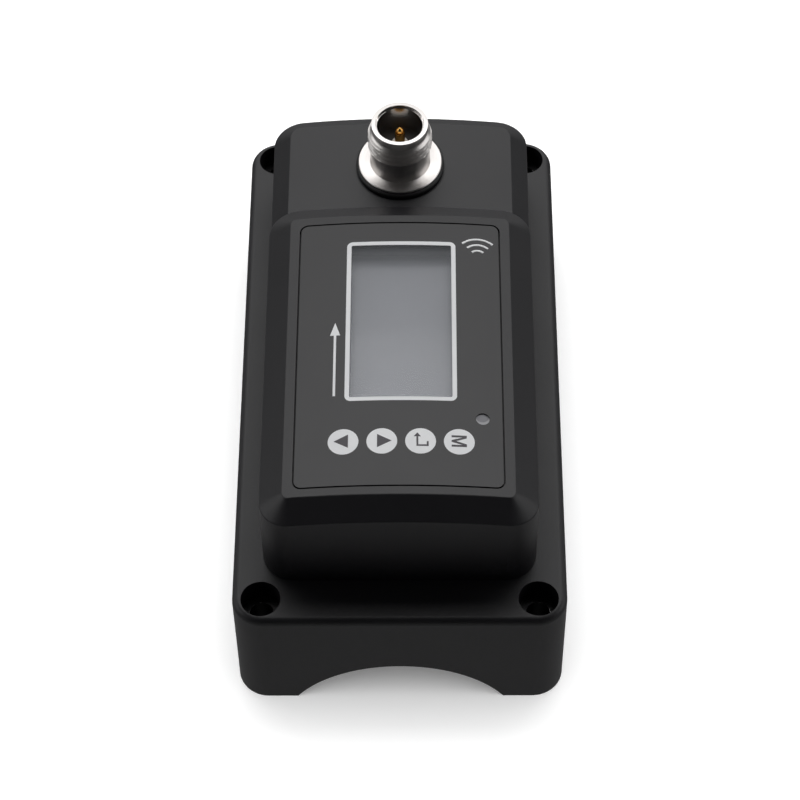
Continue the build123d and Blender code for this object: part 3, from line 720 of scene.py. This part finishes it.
class MakeConnector(bpy.types.Operator):
    """Turn the connector's receptacle with its thread, and finish its inner pieces"""

    bl_idname = "meter.make_connector"
    bl_label = "Connector"

    def execute(self, context):
        sizes = context.scene.meter_sizes
        low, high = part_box("connector_shell")
        center_y = (low.y + high.y) / 2
        rim = high.z
        blank = lathe(self.profile(low.z, rim, (high.x - low.x) / 2), CONNECTOR_COLUMNS, center_y)
        steel = turned_metal("turned_stainless", (0.8, 0.77, 0.75), 0.3, center_y, MOUTH_RADIUS)
        names = {
            "Axis Y": center_y,
            "Crest Radius": CREST_RADIUS,
            "Pitch": sizes.thread_pitch,
            "Depth": sizes.thread_depth,
            "Start Height": rim - THREAD_DROP - THREAD_LENGTH,
            "End Height": rim - THREAD_DROP,
            "Phase": THREAD_PHASE,
        }
        graph, geometry, size = rule("thread_rule", names)
        x, y, z = graph.parts(graph.node("GeometryNodeInputPosition"))
        from_axis = y - size["Axis Y"]
        radius = x.distance(from_axis)
        turn = x.turn(from_axis) / (2 * math.pi)
        rise = (z - size["Start Height"]) / size["Pitch"] - turn + size["Phase"]
        from_groove = abs(rise.fraction() * 2.0 - 1.0)
        flank = (1.0 - CREST_FLAT - from_groove) / (1.0 - CREST_FLAT - ROOT_FLAT)
        cut = size["Crest Radius"] - size["Depth"] * flank.at_least(0.0).at_most(1.0)
        threaded = z.above(size["Start Height"]) * z.below(size["End Height"])
        inside = threaded * radius.above(CORE_RADIUS)
        scale = (radius.at_most(cut) / radius - 1.0) * inside + 1.0
        moved = graph.vector(x * scale, from_axis * scale + size["Axis Y"], z)
        shaped = graph.node("GeometryNodeSetPosition", inputs={"Geometry": geometry, "Position": moved})
        end_rule(graph, shaped, steel)
        receptacle = smooth_by_angle(follow_rule(blank, graph, names), CREASE_DEGREES)
        piece = piece_from("connector_receptacle", receptacle, steel)
        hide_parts("connector_shell")
        gold = turned_metal("gold_plate", (0.83, 0.46, 0.12), 0.24, center_y, 1.0 * MM)
        dress(gold, "contact_pin")
        dress(plastic("boss_white", (0.82, 0.82, 0.8), 0.4), "pin_boss")
        dress(plastic("insulator_dark", (0.075, 0.072, 0.07), 0.38), "connector_insulator")
        dress(plastic("seal_rubber", (0.008, 0.008, 0.009), 0.5), "connector_seal")
        return {"FINISHED"}

    def profile(self, foot, rim, flange_radius):
        """Half the receptacle's section, with the thread's length still plain."""
        edge = CONNECTOR_EDGE
        flange_high = rim - FLANGE_DROP
        flange_low = flange_high - FLANGE_THICKNESS
        thread_high = rim - THREAD_DROP
        thread_low = thread_high - THREAD_LENGTH
        collar_low = rim - COLLAR_DROP
        mouth_low = rim - MOUTH_DEPTH
        points = [
            (TAIL_BORE_RADIUS, foot),
            (CREST_RADIUS, foot),
            (CREST_RADIUS, flange_low),
            (flange_radius - edge, flange_low),
            (flange_radius, flange_low + edge),
            (flange_radius, flange_high - 1.4 * edge),
            (flange_radius - 1.4 * edge, flange_high),
            (NECK_RADIUS + 2 * edge, flange_high),
            (NECK_RADIUS + 0.6 * edge, flange_high + 0.6 * edge),
            (NECK_RADIUS, flange_high + 2 * edge),
            (NECK_RADIUS, thread_low),
        ]
        step = (thread_high + RUN_OUT_ROOM - thread_low) / THREAD_ROWS
        for row in range(THREAD_ROWS + 1):
            height = thread_low + step * row
            lead_in = NECK_RADIUS + (height - thread_low) * LEAD_IN_SLOPE
            run_out = GROOVE_RADIUS + (collar_low - height) * RUN_OUT_SLOPE
            points.append((min(CREST_RADIUS, lead_in, run_out), height + edge * 0.01))
        points += [
            (GROOVE_RADIUS, collar_low - edge),
            (GROOVE_RADIUS, collar_low),
            (COLLAR_RADIUS - edge, collar_low),
            (COLLAR_RADIUS, collar_low + edge),
            (COLLAR_RADIUS, rim - 0.9 * edge),
            (COLLAR_RADIUS - 0.25 * edge, rim - 0.25 * edge),
            (COLLAR_RADIUS - 0.9 * edge, rim),
            (MOUTH_RADIUS + 0.5 * edge, rim),
            (MOUTH_RADIUS, rim - 0.5 * edge),
            (MOUTH_RADIUS, mouth_low),
            (BORE_RADIUS + 0.4 * edge, mouth_low),
            (BORE_RADIUS, mouth_low - 0.4 * edge),
            (BORE_RADIUS, rim - BORE_DEPTH),
            (TAIL_BORE_RADIUS, rim - BORE_DEPTH),
        ]
        return points


class PrintLegends(bpy.types.Operator):
    """Print the signs on the four keys"""

    bl_idname = "meter.print_legends"
    bl_label = "Key Signs"

    def execute(self, context):
        film = context.scene.meter_sizes.print_thickness
        outlines = [LEFT_SIGN, RIGHT_SIGN, ENTER_SIGN, MODE_SIGN]
        legends = flat_marks("key_signs", outlines, 2 * film, film)
        dark = plastic("legend_ink", tuple(context.scene.meter_colors.legend), 0.45)
        piece_from("key_signs", legends, dark)
        return {"FINISHED"}


class PrintMarks(bpy.types.Operator):
    """Print the flow arrow and the wave mark on the panel"""

    bl_idname = "meter.print_marks"
    bl_label = "Arrow and Wave Mark"

    def execute(self, context):
        sizes = context.scene.meter_sizes
        ink = plastic("mark_ink", tuple(context.scene.meter_colors.ink), 0.42)
        film = sizes.print_thickness
        made = flat_marks("flow_arrow", [FLOW_ARROW], 2 * film, film)
        piece_from("flow_arrow", made, ink)
        names = {
            "Count": sizes.wave_count,
            "First Radius": 1.5 * MM,
            "Step": 1.3 * MM,
            "Line Width": 0.42 * MM,
            "Center X": 14.1 * MM,
            "Center Y": 9.4 * MM,
            "Crown Radius": sizes.crown_radius,
            "Crown Top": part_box("panel_print")[1].z,
            "Thickness": 2 * film,
        }
        graph, _, size = rule("wave_rule", names)
        dots = graph.node("GeometryNodePoints", inputs={"Count": size["Count"]})
        arc = graph.node(
            "GeometryNodeCurveArc",
            inputs={
                "Resolution": ARC_STEPS,
                "Radius": 1.0,
                "Start Angle": ARC_START,
                "Sweep Angle": ARC_SWEEP,
            },
        )
        order = graph.node("GeometryNodeInputIndex")
        grow = size["First Radius"] + order * size["Step"]
        arcs = graph.node(
            "GeometryNodeInstanceOnPoints", inputs={"Points": dots, "Instance": arc, "Scale": grow}
        )
        real = graph.node("GeometryNodeRealizeInstances", inputs={0: arcs})
        strip = graph.node(
            "GeometryNodeCurvePrimitiveQuadrilateral",
            inputs={"Width": size["Line Width"], "Height": size["Thickness"]},
        )
        swept = graph.node(
            "GeometryNodeCurveToMesh",
            inputs={"Curve": real, "Profile Curve": strip, "Fill Caps": True},
        )
        x, y, z = graph.parts(graph.node("GeometryNodeInputPosition"))
        place_x = x + size["Center X"]
        crown = (size["Crown Radius"] * size["Crown Radius"] - place_x * place_x) ** 0.5
        height = size["Crown Top"] - size["Crown Radius"] + crown + z
        moved = graph.vector(place_x, y + size["Center Y"], height)
        shaped = graph.node("GeometryNodeSetPosition", inputs={"Geometry": swept, "Position": moved})
        end_rule(graph, shaped, ink)
        waves = follow_rule(bpy.data.meshes.new("waves"), graph, names)
        piece_from("wave_mark", waves, ink)
        return {"FINISHED"}


class SetStage(bpy.types.Operator):
    """Set up the floor, the lights and the camera"""

    bl_idname = "meter.set_stage"
    bl_label = "Studio"

    def execute(self, context):
        scene = context.scene
        floor = self.floor()
        scene.world = self.surround()
        scene.view_settings.view_transform = "Standard"
        for softbox in SOFTBOXES:
            self.softbox(*softbox)
        wash = self.softbox(*FLOOR_WASH)
        floor_only = bpy.data.collections.new("floor_only")
        floor_only.objects.link(floor)
        wash.light_linking.receiver_collection = floor_only
        scene.camera = self.camera()
        return {"FINISHED"}

    def floor(self):
        """A plain white floor that the part's reflections don't show."""
        form = bmesh.new()
        bmesh.ops.create_grid(form, x_segments=1, y_segments=1, size=FLOOR_HALF_WIDTH)
        made = bpy.data.meshes.new("floor")
        form.to_mesh(made)
        form.free()
        floor = bpy.data.objects.new("floor", made)
        bpy.context.scene.collection.objects.link(floor)
        floor.visible_glossy = False
        white = Finish("floor_white").surface(
            base_color=(0.9, 0.9, 0.9),
            roughness=0.9,
            emission_color=(1.0, 1.0, 1.0),
            emission_strength=FLOOR_GLOW,
        )
        made.materials.append(white)
        return floor

    def surround(self):
        """A world that is dark above the horizon and grey below it."""
        world = bpy.data.worlds.new("studio")
        world.use_nodes = True
        graph = Graph(world.node_tree)
        graph.tree.nodes.clear()
        direction = graph.node("ShaderNodeTexCoord")
        upward = graph.node("ShaderNodeSeparateXYZ", inputs={0: direction}, output=2)
        above = upward.fade(-HORIZON_BLEND, HORIZON_BLEND)
        strength = SURROUND_BELOW - above * (SURROUND_BELOW - SURROUND_ABOVE)
        background = graph.node("ShaderNodeBackground", inputs={"Strength": strength})
        graph.node("ShaderNodeOutputWorld", inputs={"Surface": background})
        return world

    def camera(self):
        """The camera at the photograph's place and angle."""
        data = bpy.data.cameras.new("camera")
        data.sensor_fit = "HORIZONTAL"
        data.sensor_width = SENSOR_WIDTH
        data.lens = CAMERA_LENS
        data.clip_start = 10 * MM
        camera = bpy.data.objects.new("camera", data)
        bpy.context.scene.collection.objects.link(camera)
        turn = Matrix((CAMERA_RIGHT, CAMERA_UP, -CAMERA_AHEAD)).transposed()
        camera.matrix_world = Matrix.Translation(CAMERA_PLACE) @ turn.to_4x4()
        return camera

    def softbox(self, name, place, target, size, radiance):
        """A rectangular area light of an even radiance that faces a point."""
        data = bpy.data.lights.new(name, "AREA")
        data.shape = "RECTANGLE"
        data.size, data.size_y = size
        data.energy = radiance * size[0] * size[1] * math.pi
        light = bpy.data.objects.new(name, data)
        bpy.context.scene.collection.objects.link(light)
        light.location = place
        facing = Vector(target) - Vector(place)
        light.rotation_euler = facing.to_track_quat("-Z", "Y").to_euler()
        return light


OPERATORS = (
    DressCasings,
    DressPanel,
    DressInside,
    MakeConnector,
    PrintLegends,
    PrintMarks,
    SetStage,
)


class MeterPanel(bpy.types.Panel):
    """Lists the flow meter's operators"""

    bl_idname = "VIEW3D_PT_flow_meter"
    bl_label = "Flow Meter"
    bl_space_type = "VIEW_3D"
    bl_region_type = "UI"
    bl_category = "Flow Meter"

    def draw(self, context):
        for group in (context.scene.meter_sizes, context.scene.meter_colors):
            for name in group.__annotations__:
                self.layout.prop(group, name)
        for operator in OPERATORS:
            self.layout.operator(operator.bl_idname)


CLASSES = (MeterSizes, MeterColors, *OPERATORS, MeterPanel)


def register():
    for each in CLASSES:
        bpy.utils.register_class(each)
    bpy.types.Scene.meter_sizes = PointerProperty(type=MeterSizes)
    bpy.types.Scene.meter_colors = PointerProperty(type=MeterColors)


def unregister():
    del bpy.types.Scene.meter_colors
    del bpy.types.Scene.meter_sizes
    for each in reversed(CLASSES):
        bpy.utils.unregister_class(each)


def main():
    """Makes every piece."""
    register()
    for operator in OPERATORS:
        group, name = operator.bl_idname.split(".")
        getattr(getattr(bpy.ops, group), name)()


if __name__ == "__main__":
    main()
